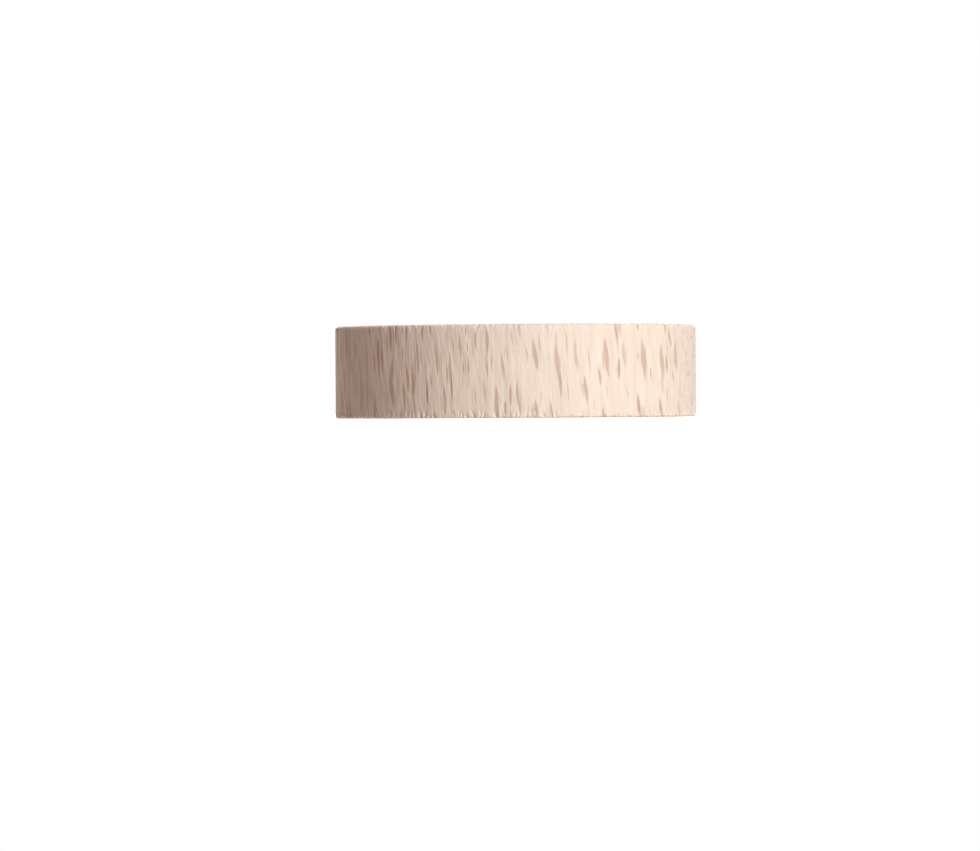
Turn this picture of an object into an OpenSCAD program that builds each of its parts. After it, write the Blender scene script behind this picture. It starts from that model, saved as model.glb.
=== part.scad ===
// Checkers piece: a plain disc, cross-cut from a turned beech rod and eased along its edges.
// The disc is one piece of solid wood, so the model is one solid of revolution.
// The rod's axis, along which the wood's fibres run, is +Z.
// The origin is at the middle of the lower face, which lies on the board.

/* [Disc] */
// Diameter of the rod that the disc is cut from
disc_d = 50; // [25:0.5:65]
// Thickness of the disc, from face to face
disc_h = 12.7; // [5:0.1:20]

/* [Arrises] */
// Radius of the sanded edge round the upper face
upper_arris_r = 0.5; // [0.2:0.05:2]
// Radius of the edge round the lower face, where the saw came out
lower_arris_r = 0.3; // [0.1:0.05:2]

/* [Hidden] */
// Distance from the disc's axis to its rim
disc_r = disc_d / 2;
// How far a cut runs past the surface that it removes
overrun = 1;
// Bare beech, as red, green and blue shares
beech_shares = [0.87, 0.74, 0.62];
// Steps of a full turn in a preview
$fn = 180;

// The sharp corner that sanding takes off to leave a quarter round of radius r.
// The quarter round's centre is at the origin, and the corner points to +X and +Y.
module arris_waste(r) {
    difference() {
        square(r + overrun);
        circle(r);
    }
}

// Half of the disc's section, from the axis out to the rim, with both outer corners eased
module half_section() {
    difference() {
        square([disc_r, disc_h]);
        translate([disc_r - upper_arris_r, disc_h - upper_arris_r])
            arris_waste(upper_arris_r);
        translate([disc_r - lower_arris_r, lower_arris_r])
            mirror([0, 1])
                arris_waste(lower_arris_r);
    }
}

// The whole piece: its section turned once about the rod's axis
module beech_disc() {
    color(beech_shares)
        rotate_extrude()
            half_section();
}

beech_disc();
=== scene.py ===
# %% [markdown]
# # A checkers piece in bare beech
# The piece is one plain disc, a slice cut across a turned beech rod, with its edges eased by sanding.
# Nothing on it moves and nothing is fitted to it, so there is one mesh to make, and the wood is the work.
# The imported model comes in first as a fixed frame. It says how wide and how thick the disc is.

# %% Load the frame
import math

import bmesh
import bpy
import numpy as np
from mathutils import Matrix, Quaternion, Vector


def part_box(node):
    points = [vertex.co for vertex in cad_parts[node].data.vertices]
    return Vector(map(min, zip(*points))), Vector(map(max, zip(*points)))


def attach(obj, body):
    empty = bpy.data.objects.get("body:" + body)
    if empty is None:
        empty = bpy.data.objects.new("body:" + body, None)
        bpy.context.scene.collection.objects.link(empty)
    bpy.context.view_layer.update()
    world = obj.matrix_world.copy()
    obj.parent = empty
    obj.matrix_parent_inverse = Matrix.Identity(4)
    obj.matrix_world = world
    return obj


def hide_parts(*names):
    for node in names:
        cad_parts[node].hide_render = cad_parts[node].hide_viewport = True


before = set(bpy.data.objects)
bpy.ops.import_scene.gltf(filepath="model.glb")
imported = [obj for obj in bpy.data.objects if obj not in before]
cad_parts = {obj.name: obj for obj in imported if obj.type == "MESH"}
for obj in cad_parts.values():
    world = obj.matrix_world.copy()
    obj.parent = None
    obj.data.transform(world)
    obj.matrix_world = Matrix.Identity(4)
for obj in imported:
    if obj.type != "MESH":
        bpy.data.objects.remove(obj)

MM = 0.001
scene = bpy.context.scene
scene.view_settings.view_transform = "Standard"

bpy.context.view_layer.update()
disc_low, disc_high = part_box("beech_disc")
disc_r = (disc_high.x - disc_low.x) / 2
disc_h = disc_high.z - disc_low.z
print(f"disc: {2 * disc_r / MM:.1f} mm across, {disc_h / MM:.1f} mm thick")

# %% [markdown]
# ## The camera
# The disc is seen edge-on, from far off through a long lens, so its rim is a long band that hardly bows.
# The camera stands a little above the board and looks almost level.
# It is turned and not shifted to set the disc right of the middle and above it, so that a view from
# another side is centred too. A small roll lifts the disc's right side.

# %% Camera
CAMERA_DISTANCE = 775 * MM
CAMERA_HEIGHT = 2.7 * MM
AIM_SIDE = -3.6 * MM
AIM_HEIGHT = -1.1 * MM
CAMERA_ROLL = math.radians(-0.37)
LENS_MM = 205
SENSOR_MM = 36

bpy.ops.object.select_all(action="DESELECT")
bpy.ops.object.camera_add(location=(0, -CAMERA_DISTANCE, CAMERA_HEIGHT))
camera = bpy.context.object
camera.name = "camera"
camera.data.lens = LENS_MM
camera.data.sensor_width = SENSOR_MM
sight = Vector((AIM_SIDE, 0, AIM_HEIGHT)) - camera.location
level = sight.to_track_quat("-Z", "Y")
camera.rotation_mode = "QUATERNION"
camera.rotation_quaternion = level @ Quaternion((0, 0, 1), CAMERA_ROLL)
scene.camera = camera
print(f"camera: {LENS_MM} mm lens, {CAMERA_DISTANCE / MM:.0f} mm from the disc's axis")

# %% [markdown]
# ## The light
# One large soft lamp stands in front and to the right, and the rim turns away from it into shade on the
# left. A second lamp behind and above lights the far side, which the first can't reach, and a weak third
# one lights the lower face from below, where a pale board would throw light back.
# A lamp's power follows from how bright a matt white wall that faces it should look, so the values below
# are shares of white, and the lamps and the surroundings can be weighed against each other.

# %% Lamps
LAMP_DISTANCE = 0.9
LAMP_SIZE = 0.5


def soft_lamp(name, azimuth, elevation, share):
    """A square lamp aimed at the disc that lights a matt white wall facing it to a share of white."""
    a = math.radians(azimuth)
    e = math.radians(elevation)
    out = Vector((math.sin(a) * math.cos(e), -math.cos(a) * math.cos(e), math.sin(e)))
    middle = Vector((0, 0, disc_h / 2))
    bpy.ops.object.light_add(type="AREA", location=middle + out * LAMP_DISTANCE)
    lamp = bpy.context.object
    lamp.name = name
    lamp.data.shape = "SQUARE"
    lamp.data.size = LAMP_SIZE
    lamp.data.energy = share * (math.pi * LAMP_DISTANCE) ** 2
    lamp.rotation_mode = "QUATERNION"
    lamp.rotation_quaternion = (-out).to_track_quat("-Z", "Y")
    return lamp


bpy.ops.object.select_all(action="DESELECT")
key_lamp = soft_lamp("key_lamp", azimuth=38, elevation=22, share=0.915)
back_lamp = soft_lamp("back_lamp", azimuth=182, elevation=38, share=0.75)
low_lamp = soft_lamp("low_lamp", azimuth=0, elevation=-90, share=0.4)
print("lamps:", key_lamp.name, back_lamp.name, low_lamp.name)

# %% [markdown]
# ## Surroundings and board
# The background is plain white. The world shows white to the camera and to shiny reflections, and lights
# the wood with a weaker, warm glow, as a pale room would.
# The floor is white as well. Part of that is a glow for the eye alone and the rest comes from the lamps,
# so the floor keeps a soft shadow under the disc. Farther out it turns into plain white.
# From below it lets the view and the light through, so the disc's lower face can be looked at.

# %% Node helpers
def add_node(tree, kind, title, wires=None, **settings):
    """Add one shader node, set its options, and wire or fill its sockets by name or number."""
    node = tree.nodes.new("ShaderNode" + kind)
    node.label = title
    for name, value in settings.items():
        setattr(node, name, value)
    for socket, value in (wires or {}).items():
        if isinstance(value, bpy.types.NodeSocket):
            tree.links.new(value, node.inputs[socket])
        else:
            node.inputs[socket].default_value = value
    return node


def math_node(tree, operation, *values):
    """One step of arithmetic on sockets or plain numbers."""
    sockets = dict(enumerate(values))
    return add_node(tree, "Math", operation.lower(), sockets, operation=operation).outputs[0]


def shown_to_eye(tree):
    """1 for rays from the camera, from shiny reflections and through glass, else 0."""
    path = add_node(tree, "LightPath", "what the ray is for")
    straight = math_node(tree, "MAXIMUM", path.outputs["Is Camera Ray"], path.outputs["Is Glossy Ray"])
    return math_node(tree, "MAXIMUM", straight, path.outputs["Is Transmission Ray"])


# %% World
WHITE = (1, 1, 1, 1)
ROOM_COLOUR = (1.0, 0.75, 0.67, 1)
ROOM_SHARE = 0.28

world = bpy.data.worlds.new("white_room")
scene.world = world
world.use_nodes = True
sky = world.node_tree
sky.nodes.clear()
room = add_node(sky, "Background", "light on the wood", {"Color": ROOM_COLOUR, "Strength": ROOM_SHARE})
backdrop = add_node(sky, "Background", "white to the eye", {"Color": WHITE, "Strength": 1})
seen = add_node(sky, "MixShader", "eye or light",
                {0: shown_to_eye(sky), 1: room.outputs[0], 2: backdrop.outputs[0]})
add_node(sky, "OutputWorld", "world", {"Surface": seen.outputs[0]})
print("world: white to the camera,", ROOM_SHARE, "of white on the wood")

# %% Floor
FLOOR_SIZE = 6.0
FLOOR_DROP = 0.02 * MM

bpy.ops.object.select_all(action="DESELECT")
bpy.ops.mesh.primitive_plane_add(size=FLOOR_SIZE, location=(0, 0, disc_low.z - FLOOR_DROP))
floor = bpy.context.object
floor.name = "floor"
floor.visible_diffuse = False
floor.visible_shadow = False
print("floor:", FLOOR_SIZE, "m square")

# %% White of the floor
FLOOR_WHITE = (0.9, 0.9, 0.9, 1)
FLOOR_GLOW = 0.72
SHADOW_END, OPEN_START = 100 * MM, 300 * MM

paper = bpy.data.materials.new("white_board")
paper.use_nodes = True
sheet = paper.node_tree
sheet.nodes.clear()
matt = add_node(sheet, "BsdfDiffuse", "matt white", {"Color": FLOOR_WHITE})
glow = add_node(sheet, "Emission", "white to the eye", {"Color": WHITE, "Strength": FLOOR_GLOW})
near = add_node(sheet, "AddShader", "glow and shadow", {0: matt.outputs[0], 1: glow.outputs[0]})
plain = add_node(sheet, "Emission", "plain white", {"Color": WHITE, "Strength": 1})
spot = add_node(sheet, "TexCoord", "place on the floor")
away = add_node(sheet, "VectorMath", "distance", {0: spot.outputs["Object"]}, operation="LENGTH")
far = add_node(sheet, "MapRange", "far off",
               {"Value": away.outputs["Value"], "From Min": SHADOW_END, "From Max": OPEN_START},
               interpolation_type="SMOOTHSTEP")
open_floor = add_node(sheet, "MixShader", "near or far",
                      {0: far.outputs[0], 1: near.outputs[0], 2: plain.outputs[0]})
lit = add_node(sheet, "MixShader", "eye or light",
               {0: shown_to_eye(sheet), 1: matt.outputs[0], 2: open_floor.outputs[0]})
clear = add_node(sheet, "BsdfTransparent", "seen from below")
side = add_node(sheet, "NewGeometry", "which side")
both = add_node(sheet, "MixShader", "upper or lower side",
                {0: side.outputs["Backfacing"], 1: lit.outputs[0], 2: clear.outputs[0]})
add_node(sheet, "OutputMaterial", "floor", {"Surface": both.outputs[0]})
floor.data.materials.append(paper)
print(f"floor: shadow within {SHADOW_END / MM:.0f} mm, plain white past {OPEN_START / MM:.0f} mm")

# %% [markdown]
# ## The disc's body
# On a lathe and a saw this is a rod, two cuts and a rub with sandpaper. Here a cylinder stands for the
# length of rod, and two bevels stand for the sanding: the upper edge is rounder than the lower one.
# The wall then gets rows that crowd towards both edges, because the broken fibres there need fine faces.

# %% Selection in edit mode
def pick(kind, test):
    """Select only the vertices, edges or faces of the mesh in edit mode that pass a test."""
    bpy.ops.mesh.select_mode(type=kind)
    bpy.ops.mesh.select_all(action="DESELECT")
    mesh = bmesh.from_edit_mesh(bpy.context.object.data)
    items = {"VERT": mesh.verts, "EDGE": mesh.edges, "FACE": mesh.faces}[kind]
    chosen = [item for item in items if test(item)]
    for item in chosen:
        item.select_set(True)
    bmesh.update_edit_mesh(bpy.context.object.data)
    return len(chosen)


# %% A length of rod
STEPS_ROUND = 1440
NEAR = 0.001 * MM

bpy.ops.object.select_all(action="DESELECT")
bpy.ops.mesh.primitive_cylinder_add(
    vertices=STEPS_ROUND, radius=disc_r, depth=disc_h, location=(0, 0, disc_low.z + disc_h / 2))
disc = bpy.context.object
disc.name = "checkers_disc"
bpy.ops.object.transform_apply(location=True, rotation=True, scale=True)
print("rod:", len(disc.data.polygons), "faces")

# %% Eased edges
UPPER_ARRIS = 0.5 * MM
LOWER_ARRIS = 0.3 * MM
ARRIS_STEPS = 6
ROUND_PROFILE = 0.5
EDGES = ((disc_high.z, UPPER_ARRIS), (disc_low.z, LOWER_ARRIS))

bpy.ops.object.mode_set(mode="EDIT")
for height, arris in EDGES:
    count = pick("EDGE", lambda edge: all(abs(v.co.z - height) < NEAR for v in edge.verts))
    bpy.ops.mesh.bevel(offset=arris, segments=ARRIS_STEPS, profile=ROUND_PROFILE, affect="EDGES")
    print(f"edge at {height / MM:.1f} mm: {count} edges rounded to {arris / MM:.1f} mm")

# %% Rows on the wall
FIRST_ROW = 0.15 * MM
ROW_GROWTH = 1.25

wall_low = disc_low.z + LOWER_ARRIS
wall_high = disc_high.z - UPPER_ARRIS
rows = []
reach = FIRST_ROW
step = FIRST_ROW
while reach < (wall_high - wall_low) / 2:
    rows += [wall_low + reach, wall_high - reach]
    step *= ROW_GROWTH
    reach += step
for height in rows:
    bpy.ops.mesh.select_all(action="SELECT")
    bpy.ops.mesh.bisect(plane_co=(0, 0, height), plane_no=(0, 0, 1))
print("wall:", len(rows) + 1, "rows")

# %% [markdown]
# ## The two faces
# A round face could stay one many-sided polygon, but it shades and bakes better as a grid of even squares.
# The edge has far more steps than the middle needs. So the face is inset twice, and each time every second
# vertex of the inner ring is dissolved. A grid then fills what is left.

# %% Helpers for the faces
RING_WIDTH = 0.7 * MM
RING_NEAR = RING_WIDTH / 4


def on_ring(vertex, radius, height):
    """Whether a vertex lies on a ring of that radius in one of the faces."""
    flat = abs(vertex.co.z - height) < NEAR
    return flat and abs(math.hypot(vertex.co.x, vertex.co.y) - radius) < RING_NEAR


def step_of(vertex, steps):
    """Which of the ring's steps a vertex stands on."""
    return round(math.atan2(vertex.co.y, vertex.co.x) / (2 * math.pi / steps))


def closes_ring(face, steps, height):
    """Whether a face is the many-sided one that closes a ring of so many steps."""
    return len(face.verts) == steps and abs(face.verts[0].co.z - height) < NEAR


# %% Faces
RING_COUNT = 2
GRID_SIDES = 4

for height, arris in EDGES:
    radius = disc_r - arris
    steps = STEPS_ROUND
    for ring in range(RING_COUNT):
        pick("FACE", lambda face: closes_ring(face, steps, height))
        bpy.ops.mesh.inset(thickness=RING_WIDTH)
        radius -= RING_WIDTH
        pick("FACE", lambda face: closes_ring(face, steps, height))
        bpy.ops.mesh.delete(type="ONLY_FACE")
        pick("VERT", lambda v: on_ring(v, radius, height) and step_of(v, steps) % 2 == 1)
        bpy.ops.mesh.dissolve_verts()
        steps //= 2
        pick("EDGE", lambda edge: all(on_ring(v, radius, height) for v in edge.verts))
        if ring < RING_COUNT - 1:
            bpy.ops.mesh.edge_face_add()
    squares = steps // GRID_SIDES
    bpy.ops.mesh.fill_grid(span=squares)
    print(f"face at {height / MM:.1f} mm: a grid of {squares} by {squares}")
bpy.ops.mesh.select_all(action="SELECT")
bpy.ops.mesh.normals_make_consistent(inside=False)
bpy.ops.object.mode_set(mode="OBJECT")
print("disc:", len(disc.data.polygons), "faces")

# %% [markdown]
# ## A map of the surface
# The wood's pattern is solid and needs no map, but its colours can be painted into one for use elsewhere.
# An automatic map would cut the rounded edges into many slivers. Cut along given seams it has eight whole
# pieces, like paper round a tin: the two faces, and the wall with its rounded edges in six strips.

# %% Seams and unwrapping
STRIPS = 6
MAP_MARGIN = 0.004


def on_cut(edge):
    """Whether an edge lies on the border of a face, or on one of the upright cuts in the wall."""
    for height, arris in EDGES:
        if all(on_ring(v, disc_r - arris, height) for v in edge.verts):
            return True
    outside = all(math.hypot(v.co.x, v.co.y) > disc_r - UPPER_ARRIS - NEAR for v in edge.verts)
    return outside and all(step_of(v, STEPS_ROUND) % (STEPS_ROUND // STRIPS) == 0 for v in edge.verts)


bpy.ops.object.mode_set(mode="EDIT")
count = pick("EDGE", on_cut)
bpy.ops.mesh.mark_seam()
disc.data.uv_layers[0].name = "OFBake"
bpy.ops.mesh.select_all(action="SELECT")
bpy.ops.uv.select_all(action="SELECT")
bpy.ops.uv.unwrap(method="CONFORMAL", margin=MAP_MARGIN)
bpy.ops.uv.average_islands_scale()
bpy.ops.uv.pack_islands(rotate=True, margin=MAP_MARGIN)
bpy.ops.object.mode_set(mode="OBJECT")
print("map:", count, "edges cut")

# %% [markdown]
# ## Broken fibres along the edges
# Where the saw leaves the wood it lifts small splinters out of the edge, and sanding never quite removes
# the nicks. They could be painted, but they break the outline, so they are real dents here.
# A vertex group says how near a point is to an edge, and Displace modifiers push it in by a noise that is
# stretched along the fibres. An empty one millimetre wide and a few tall sets its scale.

# %% How near the edges a point is
def edge_weights(vertices, height, arris, band):
    """1 on a rounded edge, falling to 0 over a band of the wall and of the face beside it."""
    along_wall = abs(vertices[:, 2] - height) - arris
    along_face = disc_r - arris - np.hypot(vertices[:, 0], vertices[:, 1])
    away = np.maximum(along_wall, along_face)
    return np.clip(1 - away / band, 0, 1)


def vertex_places(piece):
    """The places of all the vertices, as one array."""
    places = np.empty(len(piece.data.vertices) * 3)
    piece.data.vertices.foreach_get("co", places)
    return places.reshape(-1, 3)


def add_group(piece, name, weights):
    """A vertex group with a weight for each vertex that has one above zero."""
    group = piece.vertex_groups.new(name=name)
    for index in np.flatnonzero(weights > 0):
        group.add([int(index)], float(weights[index]), "REPLACE")


LOWER_BAND = 0.8 * MM
UPPER_BAND = 0.5 * MM

whole = vertex_places(disc)
add_group(disc, "lower_edge", edge_weights(whole, disc_low.z, LOWER_ARRIS, LOWER_BAND))
add_group(disc, "upper_edge", edge_weights(whole, disc_high.z, UPPER_ARRIS, UPPER_BAND))
print("groups:", [group.name for group in disc.vertex_groups])

# %% Dents
FIBRE_STRETCH = 3
DENT_DETAIL = 2
BLACK = (0, 0, 0, 1)

bpy.ops.object.select_all(action="DESELECT")
bpy.ops.object.empty_add(location=(0, 0, 0))
fibre_axes = bpy.context.object
fibre_axes.scale = (MM, MM, MM * FIBRE_STRETCH)


def dent(piece, group, size, low, high, depth, seed):
    """Push a group's points in by up to a depth, where a noise of some size in mm passes a threshold."""
    splinters = bpy.data.textures.new(f"{group}_{seed}", "CLOUDS")
    splinters.noise_scale = size
    splinters.noise_depth = DENT_DETAIL
    splinters.use_color_ramp = True
    ramp = splinters.color_ramp
    ramp.elements[0].position = low
    ramp.elements[0].color = BLACK
    ramp.elements[1].position = high
    ramp.elements[1].color = WHITE
    fibre_axes.location = (seed * MM, 0, 0)
    bpy.context.view_layer.update()
    modifier = piece.modifiers.new(splinters.name, "DISPLACE")
    modifier.texture = splinters
    modifier.texture_coords = "OBJECT"
    modifier.texture_coords_object = fibre_axes
    modifier.vertex_group = group
    modifier.mid_level = 0
    modifier.strength = -depth
    bpy.ops.object.select_all(action="DESELECT")
    piece.select_set(True)
    bpy.context.view_layer.objects.active = piece
    bpy.ops.object.modifier_apply(modifier=modifier.name)
    print(f"{group}: dents of about {size} mm, up to {depth / MM:.2f} mm deep")


dent(disc, "lower_edge", size=0.38, low=0.54, high=0.7, depth=0.2 * MM, seed=3)
dent(disc, "lower_edge", size=0.3, low=0.35, high=0.75, depth=0.06 * MM, seed=11)
dent(disc, "upper_edge", size=0.35, low=0.57, high=0.72, depth=0.1 * MM, seed=23)
dent(disc, "upper_edge", size=0.3, low=0.35, high=0.75, depth=0.04 * MM, seed=37)
bpy.data.objects.remove(fibre_axes)

# %% Remember where the fibres broke
TORN_DEPTH = 0.12 * MM

moved = np.linalg.norm(vertex_places(disc) - whole, axis=1)
torn = disc.data.attributes.new("torn", "FLOAT", "POINT")
torn.data.foreach_set("value", np.clip(moved / TORN_DEPTH, 0, 1).astype(np.float32))
print(f"deepest dent: {moved.max() / MM:.2f} mm")

# %% [markdown]
# ## A smooth wall
# The real rim is one round surface, and this one is many narrow flat faces. Still more faces would hide
# that and make the mesh heavy. Smooth shading bends the light across them instead, and leaves an edge crisp
# where two faces meet at a sharper angle, as they do round a deep nick.

# %% Smooth shading
SHARP_ANGLE = math.radians(40)

bpy.ops.object.select_all(action="DESELECT")
disc.select_set(True)
bpy.context.view_layer.objects.active = disc
bpy.ops.object.shade_smooth_by_angle(angle=SHARP_ANGLE)
print(f"smooth up to {math.degrees(SHARP_ANGLE):.0f} degrees")

# %% [markdown]
# ## Where a point lies in the tree
# Beech is drawn by its growth. Rays are thin upright plates that run out from the pith, so they show as
# short dark spindles where the rim faces the pith squarely, as flakes where it runs along them, and as fine
# lines on the end grain. A flat picture of wood would need three versions. A solid pattern needs one.
# So the material first turns each point into tree measures, in millimetres: how far it lies round the pith,
# how far along the fibres, which lean and wander a little in this rod, and how far out from the pith.

# %% Helpers for the wood's nodes
SOFT, PLAIN, CRISP = 1.0, 2.0, 2.5
NOISE_MIDDLE = 0.5

beech = bpy.data.materials.new("bare_beech")
beech.use_nodes = True
wood = beech.node_tree
wood.nodes.clear()


def reckon(operation, *values):
    """One step of arithmetic in the wood's material."""
    return math_node(wood, operation, *values)


def vector_step(operation, *values):
    """One step of vector arithmetic on sockets or plain triples."""
    return add_node(wood, "VectorMath", operation.lower(), dict(enumerate(values)), operation=operation)


def ranged(title, value, low, high, from_low=0.0, from_high=1.0, smooth=False):
    """Turn a value that runs from one limit to another into one that runs from low to high."""
    sockets = {"Value": value, "From Min": from_low, "From Max": from_high, "To Min": low, "To Max": high}
    shape = "SMOOTHSTEP" if smooth else "LINEAR"
    return add_node(wood, "MapRange", title, sockets, interpolation_type=shape).outputs[0]


def noise(title, place_mm, per_mm, detail=PLAIN):
    """A cloudy noise from 0 to 1 with so many waves per millimetre along each of the axes."""
    stretched = vector_step("MULTIPLY", place_mm, per_mm).outputs[0]
    return add_node(wood, "TexNoise", title, {"Vector": stretched, "Scale": 1, "Detail": detail})


def strayed(title, start_mm, place_mm, per_mm, reach_mm):
    """Move a place sideways by a noise, by up to a reach each way."""
    colour = noise(title, place_mm, per_mm).outputs["Color"]
    centred = vector_step("SUBTRACT", colour, (NOISE_MIDDLE, NOISE_MIDDLE, NOISE_MIDDLE)).outputs[0]
    return vector_step("MULTIPLY_ADD", centred, (2 * reach_mm, 2 * reach_mm, 0), start_mm).outputs[0]


# %% From the pith
PITH_MM = 80
PITH_TURN = math.radians(112)
FIBRE_LEAN = 0.07
WANDER_MM, WANDER_PER_MM = 0.5, (0.16, 0.16, 0.1)
WAVER_MM, WAVER_PER_MM = 0.15, (0.5, 0.5, 0.3)

place = add_node(wood, "TexCoord", "place on the disc")
from_pith = add_node(wood, "Mapping", "millimetres from the pith",
                     {"Vector": place.outputs["Object"], "Location": (PITH_MM, 0, 0),
                      "Rotation": (0, 0, PITH_TURN), "Scale": (1 / MM, 1 / MM, 1 / MM)}).outputs[0]
height_mm = add_node(wood, "SeparateXYZ", "height", {0: from_pith}).outputs["Z"]
leaning = reckon("MULTIPLY", height_mm, FIBRE_LEAN)
lean = add_node(wood, "CombineXYZ", "lean of the fibres", {"Y": leaning}).outputs[0]
upright = vector_step("ADD", from_pith, lean).outputs[0]
drawn = strayed("wandering fibres", upright, upright, WANDER_PER_MM, WANDER_MM)
bent = strayed("small waves in the fibres", drawn, upright, WAVER_PER_MM, WAVER_MM)
print(f"pith: {PITH_MM} mm from the disc's axis")

# %% Round, along and out
JAG_MM, JAG_PER_MM = 0.9, (4, 4, 0)
FLAKE_JAG_MM = 0.25

axes = add_node(wood, "SeparateXYZ", "out and across", {0: bent})
around = reckon("MULTIPLY", reckon("ARCTAN2", axes.outputs["Y"], axes.outputs["X"]), PITH_MM)
level_place = vector_step("MULTIPLY", bent, (1, 1, 0)).outputs[0]
out = vector_step("LENGTH", level_place).outputs["Value"]
fibre_ends = noise("uneven fibre ends", level_place, JAG_PER_MM, SOFT).outputs[0]
along = reckon("MULTIPLY_ADD", fibre_ends, JAG_MM, height_mm)
flake_along = reckon("MULTIPLY_ADD", fibre_ends, FLAKE_JAG_MM, height_mm)
tree_place = add_node(wood, "CombineXYZ", "round, along, out",
                      {"X": around, "Y": along, "Z": out}).outputs[0]
print("tree measures:", len(wood.nodes), "nodes")

# %% [markdown]
# ## How the wood is cut
# The same fibres look different on the rim, on the sawn faces, and where the rim runs along the rays.
# Three painted areas would show their borders. The surface normal gives the three cuts with soft ones:
# upright on the sawn end grain, and square to the pith's direction where the rim runs along the rays.

# %% End grain and flake zones
END_START, END_FULL = 0.6, 0.995
FLAKE_START, FLAKE_FULL = 0.9, 0.985

normal = place.outputs["Normal"]
facing_up = reckon("ABSOLUTE", add_node(wood, "SeparateXYZ", "normal", {0: normal}).outputs["Z"])
end_grain = ranged("end grain", facing_up, 0, 1, END_START, END_FULL, smooth=True)
turned_normal = add_node(wood, "VectorRotate", "normal seen from the pith",
                         {"Vector": normal, "Angle": PITH_TURN}, rotation_type="Z_AXIS").outputs[0]
backwards = reckon("MULTIPLY", axes.outputs["Y"], -1.0)
sideways = add_node(wood, "CombineXYZ", "round the pith",
                    {"X": backwards, "Y": axes.outputs["X"]}).outputs[0]
sideways = vector_step("NORMALIZE", sideways).outputs[0]
facing_round = reckon("ABSOLUTE", vector_step("DOT_PRODUCT", turned_normal, sideways).outputs["Value"])
along_rays = ranged("cut along the rays", facing_round, 0, 1, FLAKE_START, FLAKE_FULL, smooth=True)
across_rays = reckon("SUBTRACT", 1.0, along_rays)
print("cuts: end grain, across the rays, along the rays")

# %% [markdown]
# ## Rays
# A Voronoi pattern scatters one seed in each cell round the pith and along the fibres. The cells are thin
# and tall, so the space near a seed is a spindle with pointed ends, and outwards it goes on as a plate.
# Each cell's own random colour says whether it holds a ray, how big that is and how dark. A slow noise lets
# the plate swell and thin out.
# On one side of this disc the rays crowd and run long, on the other they are few and broad, and midway they
# are slimmest and palest. A slanting cut would draw them out too broad, so they are slimmed there.
# Flakes are the same thing seen from the side, with cells that lie out from the pith.

# %% How thick the rays are
CROWD_MM = 14
SWELL_PER_MM = (0.5, 0.15, 0.2)
SWELL_LOW, SWELL_HIGH = 0.3, 0.7
THIN, THICK = 0.75, 1.2
SLIM, BROAD = 0.85, 1.4
CROWDED_SIZE = 1.5
END_SLIM = 0.7
SLANT_START, SLANT_SLIM = 0.8, 0.6

swelling = noise("thick and thin", tree_place, SWELL_PER_MM, SOFT).outputs[0]
thickness = ranged("thick and thin", swelling, THIN, THICK, SWELL_LOW, SWELL_HIGH)
broader = ranged("broader where they are few", around, SLIM, BROAD, 0, CROWD_MM)
larger = ranged("larger where they crowd", around, CROWDED_SIZE, 1.0, -CROWD_MM, 0)
slimmer = ranged("slimmer on the end grain", end_grain, 1.0, END_SLIM)
for factor in (broader, larger, slimmer):
    thickness = reckon("MULTIPLY", thickness, factor)
slanted = ranged("slimmer where cut at a slant", facing_round, 1.0, SLANT_SLIM, SLANT_START, FLAKE_FULL)
spindle_thickness = reckon("MULTIPLY", thickness, slanted)
print(f"thickness of rays: {SLIM} midway, {SLIM * CROWDED_SIZE:.2f} and {BROAD} at the sides")

# %% How crowded, how long and how far apart they are
CROWDED, SPARSE = 0.26, -0.19
CROWDED_LENGTH = 1.6
SPREAD_MM, SPREAD = 6, 1.35

crowding = ranged("rays crowd to one side", around, CROWDED, SPARSE, -CROWD_MM, CROWD_MM)
longer = ranged("longer where they crowd", around, 1 / CROWDED_LENGTH, 1.0, -CROWD_MM, 0)
spindle_along = reckon("MULTIPLY", along, longer)
beyond = reckon("MINIMUM", reckon("ADD", around, SPREAD_MM), 0.0)
spindle_around = reckon("MULTIPLY_ADD", beyond, 1 / SPREAD - 1, around)
print(f"crowded rays: {CROWDED_LENGTH} times as long, up to {SPREAD} times as far apart")

# %% Plates and flakes
POINTED, BLUNT = 1.6, 2.4
DOUBT = 0.05
ABSENT = 0.02


def ray_plates(title, across, upward, thick, cell_mm, filled, least, most, core, seed, shape=POINTED):
    """Plates in a share of the cells: 1 inside a ray and 0 outside, and each ray's random number."""
    spot = add_node(wood, "CombineXYZ", "place among the rays", {"X": across, "Y": upward}).outputs[0]
    per_cell = (1 / cell_mm[0], 1 / cell_mm[1], 0)
    cell_place = vector_step("MULTIPLY_ADD", spot, per_cell, (seed, seed, 0)).outputs[0]
    cells = add_node(wood, "TexVoronoi", title,
                     {"Vector": cell_place, "Scale": 1, "Exponent": shape, "Randomness": 1},
                     voronoi_dimensions="2D", feature="F1", distance="MINKOWSKI")
    chance = add_node(wood, "SeparateColor", "random numbers", {0: cells.outputs["Color"]})
    margin = reckon("SUBTRACT", reckon("ADD", crowding, filled), chance.outputs[0])
    present = ranged("whether a cell holds a ray", margin, ABSENT, 1, -DOUBT, DOUBT)
    largest = reckon("MULTIPLY", present, ranged("size of each ray", chance.outputs[2], least, most))
    size = reckon("MULTIPLY", largest, thick)
    inner = reckon("MULTIPLY", size, core)
    inside = ranged("inside a ray", cells.outputs["Distance"], 0, 1, size, inner, smooth=True)
    return inside, chance.outputs[1]


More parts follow.
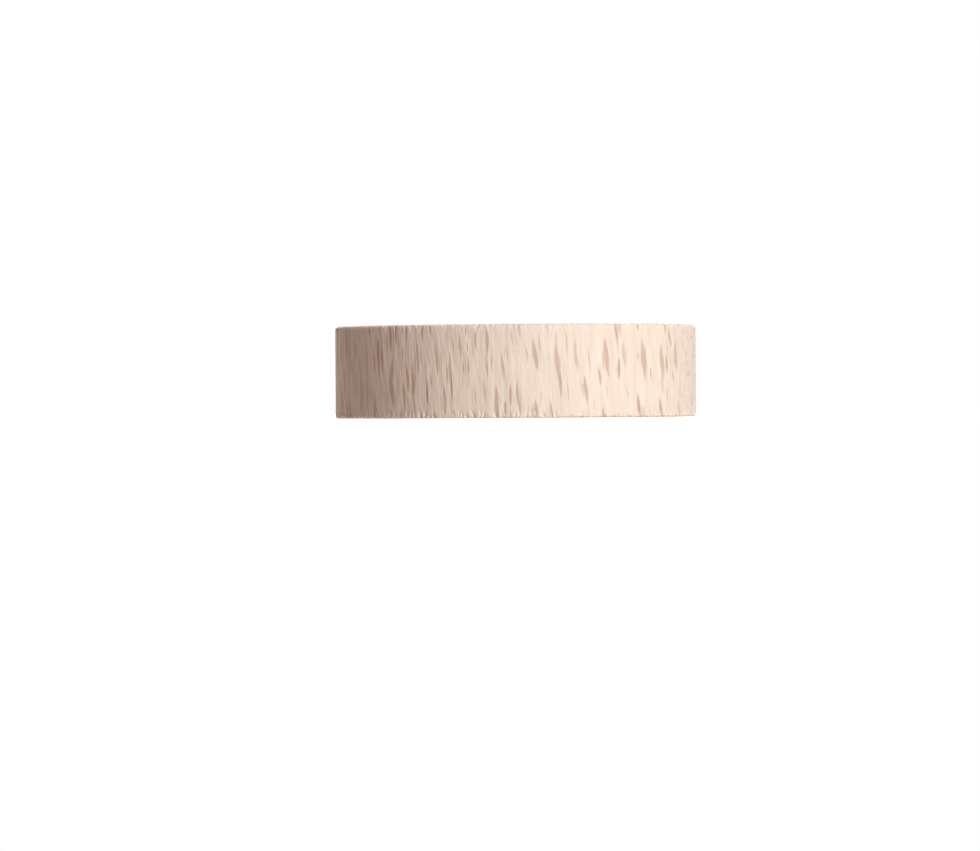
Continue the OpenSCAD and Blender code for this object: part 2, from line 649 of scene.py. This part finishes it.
broad, broad_chance = ray_plates(
    "broad rays", spindle_around, spindle_along, spindle_thickness, cell_mm=(0.7, 8.0),
    filled=0.41, least=0.27, most=0.42, core=0.5, seed=4.3)
middle, middle_chance = ray_plates(
    "middle rays", spindle_around, spindle_along, spindle_thickness, cell_mm=(0.5, 5.5),
    filled=0.42, least=0.22, most=0.38, core=0.45, seed=17.6)
fine, fine_chance = ray_plates(
    "fine rays", spindle_around, spindle_along, spindle_thickness, cell_mm=(0.34, 6.0),
    filled=0.58, least=0.12, most=0.3, core=0.3, seed=31.1)
flakes, flake_chance = ray_plates(
    "flakes", out, flake_along, thickness, cell_mm=(2.4, 1.0),
    filled=0.75, least=0.14, most=0.4, core=0.2, seed=8.9, shape=BLUNT)
broad_rays = reckon("MULTIPLY", broad, across_rays)
middle_rays = reckon("MULTIPLY", middle, across_rays)
fine_rays = reckon("MULTIPLY", fine, across_rays)
ray_flakes = reckon("MULTIPLY", flakes, along_rays)
print("rays: three sizes of plate, and flakes")

# %% [markdown]
# ## Rings, vessels and scratches
# Growth rings are faint in beech on the rim and clearer on the end grain, as thin brown arcs with a soft
# inner and a sharp outer side. A sawtooth of the distance from the pith, raised to a power, has that
# section. Fine vessels run along the fibres and show as streaks on the rim and as a speckle on the end
# grain. The fibres lie in bundles, which make broader streaks, and the tone drifts slowly over the disc.
# Sandpaper was drawn straight across both faces, and leaves faint scratches there.

# %% Rings
YEAR_MM = 2.3
UNEVEN_YEARS, YEARS_PER_MM = 1.6, (0.02, 0.01, 0.25)
LATE_POWER = 5.0

uneven_years = noise("uneven years", tree_place, YEARS_PER_MM).outputs[0]
years = reckon("MULTIPLY_ADD", uneven_years, UNEVEN_YEARS, reckon("DIVIDE", out, YEAR_MM))
late_wood = reckon("POWER", reckon("FRACT", years), LATE_POWER)
print("rings: about", YEAR_MM, "mm apart")

# %% Vessels, fibres and scratches
VESSELS_PER_MM = (4.0, 4.0, 0.16)
FIBRES_PER_MM = (1.0, 1.0, 0.2)
CLOUDS_PER_MM = (0.09, 0.09, 0.09)
SCRATCHES_PER_MM = (0.07, 7.0, 0)
SANDING_TURN = math.radians(35)

vessels = noise("vessels", bent, VESSELS_PER_MM, CRISP).outputs[0]
fibres = noise("bundles of fibres", bent, FIBRES_PER_MM).outputs[0]
clouds = noise("slow change", bent, CLOUDS_PER_MM).outputs[0]
sanding_place = add_node(wood, "VectorRotate", "along the scratches",
                         {"Vector": from_pith, "Angle": SANDING_TURN}, rotation_type="Z_AXIS").outputs[0]
scratches = noise("scratches", sanding_place, SCRATCHES_PER_MM).outputs[0]
print(f"streaks to a millimetre: {VESSELS_PER_MM[0]:.0f} of vessels, {FIBRES_PER_MM[0]:.0f} of fibres")

# %% [markdown]
# ## Colour
# The colours are those of bare beech: a pale pinkish cream on the rim, browner rays, and a tan on the end
# grain, which drinks in light, and where the rays are the paler part. Broken fibres along the edges show
# fresh pale wood. Each layer is a share of the next colour, so the layers can be weighed one by one.

# %% Colours and helpers
BEECH = (0.89, 0.785, 0.675, 1)
RAY_BROWN = (0.6, 0.42, 0.31, 1)
END_TAN = (0.72, 0.55, 0.405, 1)
END_RAY = (0.82, 0.66, 0.51, 1)
TORN_PALE = (0.91, 0.805, 0.69, 1)


def mix_colour(title, share, first, second):
    """Blend two colours, each a socket or a plain colour."""
    return add_node(wood, "Mix", title, {0: share, 6: first, 7: second}, data_type="RGBA").outputs[2]


def shaded(title, colour, factor):
    """Make a colour darker or lighter by a factor."""
    return add_node(wood, "VectorMath", title, {0: colour, "Scale": factor}, operation="SCALE").outputs[0]


print("colours: rim", BEECH[:3], "rays", RAY_BROWN[:3], "end grain", END_TAN[:3])

# %% Ground
STREAK_LOW, STREAK_HIGH = 0.2, 0.8
VESSEL_CONTRAST = 0.05
BUNDLE_CONTRAST = 0.065
CLOUD_CONTRAST = 0.05
RIM_RINGS, END_RINGS = 0.04, 0.18

ground = mix_colour("side or end", end_grain, BEECH, END_TAN)
for title, streaks, contrast in (
        ("vessel streaks", vessels, VESSEL_CONTRAST),
        ("bundles of fibres", fibres, BUNDLE_CONTRAST)):
    shade = ranged(title, streaks, 1 + contrast, 1 - contrast, STREAK_LOW, STREAK_HIGH)
    ground = shaded(title, ground, shade)
ring_depth = ranged("rings on side or end", end_grain, RIM_RINGS, END_RINGS)
ring_shade = reckon("SUBTRACT", 1.0, reckon("MULTIPLY", late_wood, ring_depth))
ground = shaded("late wood", ground, ring_shade)
drift = ranged("slow change", clouds, 1 - CLOUD_CONTRAST, 1 + CLOUD_CONTRAST)
ground = shaded("slow change", ground, drift)
print("ground:", len(wood.nodes), "nodes so far")

# %% Rays and broken fibres over it
MIDWAY_DEPTH, SIDE_DEPTH = 0.88, 1.17
FINE_SHARES = (0.2, 0.6)
MIDDLE_SHARES = (0.35, 0.85)
BROAD_SHARES = (0.45, 0.95)
FLAKE_SHARES = (0.08, 0.4)
TORN_SHARE = 0.5

ray_colour = mix_colour("ray on side or end", end_grain, RAY_BROWN, END_RAY)
off_middle = reckon("ABSOLUTE", around)
deeper = ranged("darker at the sides", off_middle, MIDWAY_DEPTH, SIDE_DEPTH, 0, CROWD_MM)
coloured = ground
for title, rays, chance, shares in (
        ("fine rays", fine_rays, fine_chance, FINE_SHARES),
        ("middle rays", middle_rays, middle_chance, MIDDLE_SHARES),
        ("broad rays", broad_rays, broad_chance, BROAD_SHARES),
        ("flakes", ray_flakes, flake_chance, FLAKE_SHARES)):
    depth = reckon("MULTIPLY", deeper, ranged("depth of colour", chance, *shares))
    coloured = mix_colour(title, reckon("MULTIPLY", rays, depth), coloured, ray_colour)
broken = add_node(wood, "Attribute", "broken fibres", attribute_name="torn").outputs["Fac"]
beech_colour = mix_colour("broken fibres", reckon("MULTIPLY", broken, TORN_SHARE), coloured, TORN_PALE)
print("colour:", len(wood.nodes), "nodes so far")

# %% [markdown]
# ## Surface
# Sanded beech is matt. Its rays are softer than the wood between them, so the sandpaper sinks them by a few
# hundredths of a millimetre, and bundles of fibres rise and fall by about a tenth. Faces so fine would be
# counted in millions, so a bump carries the relief.
# It is written in millimetres, and the bump's distance turns it into metres.

# %% Relief
RAY_SINK_MM = 0.036
MIDDLE_SINK_MM = 0.024
FIBRE_SINK_MM = 0.16
SCRATCH_SINK_MM = 0.012

sanded = reckon("MULTIPLY", scratches, end_grain)
relief = reckon("MULTIPLY", broad_rays, -RAY_SINK_MM)
for sunk, sink_mm in ((middle_rays, MIDDLE_SINK_MM), (fibres, FIBRE_SINK_MM), (sanded, SCRATCH_SINK_MM)):
    relief = reckon("MULTIPLY_ADD", sunk, -sink_mm, relief)
bump = add_node(wood, "Bump", "grain to the touch", {"Height": relief, "Strength": 1, "Distance": MM})
print(f"relief: broad rays {RAY_SINK_MM} mm deep, middle rays {MIDDLE_SINK_MM} mm")

# %% Bare beech
GROUND_ROUGH, RAY_ROUGH = 0.62, 0.5
SHINE = 0.15

roughness = ranged("roughness", broad_rays, GROUND_ROUGH, RAY_ROUGH)
surface = add_node(wood, "BsdfPrincipled", "bare beech",
                   {"Base Color": beech_colour, "Roughness": roughness, "Normal": bump.outputs[0],
                    "Specular IOR Level": SHINE})
add_node(wood, "OutputMaterial", "beech", {"Surface": surface.outputs[0]})
disc.data.materials.append(beech)
print("material:", beech.name, len(wood.nodes), "nodes")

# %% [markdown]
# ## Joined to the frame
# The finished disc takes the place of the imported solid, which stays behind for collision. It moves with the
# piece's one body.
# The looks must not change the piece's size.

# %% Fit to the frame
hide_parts("beech_disc")
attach(disc, "root")
print("fitted:", disc.name, "stands for beech_disc on the root body")
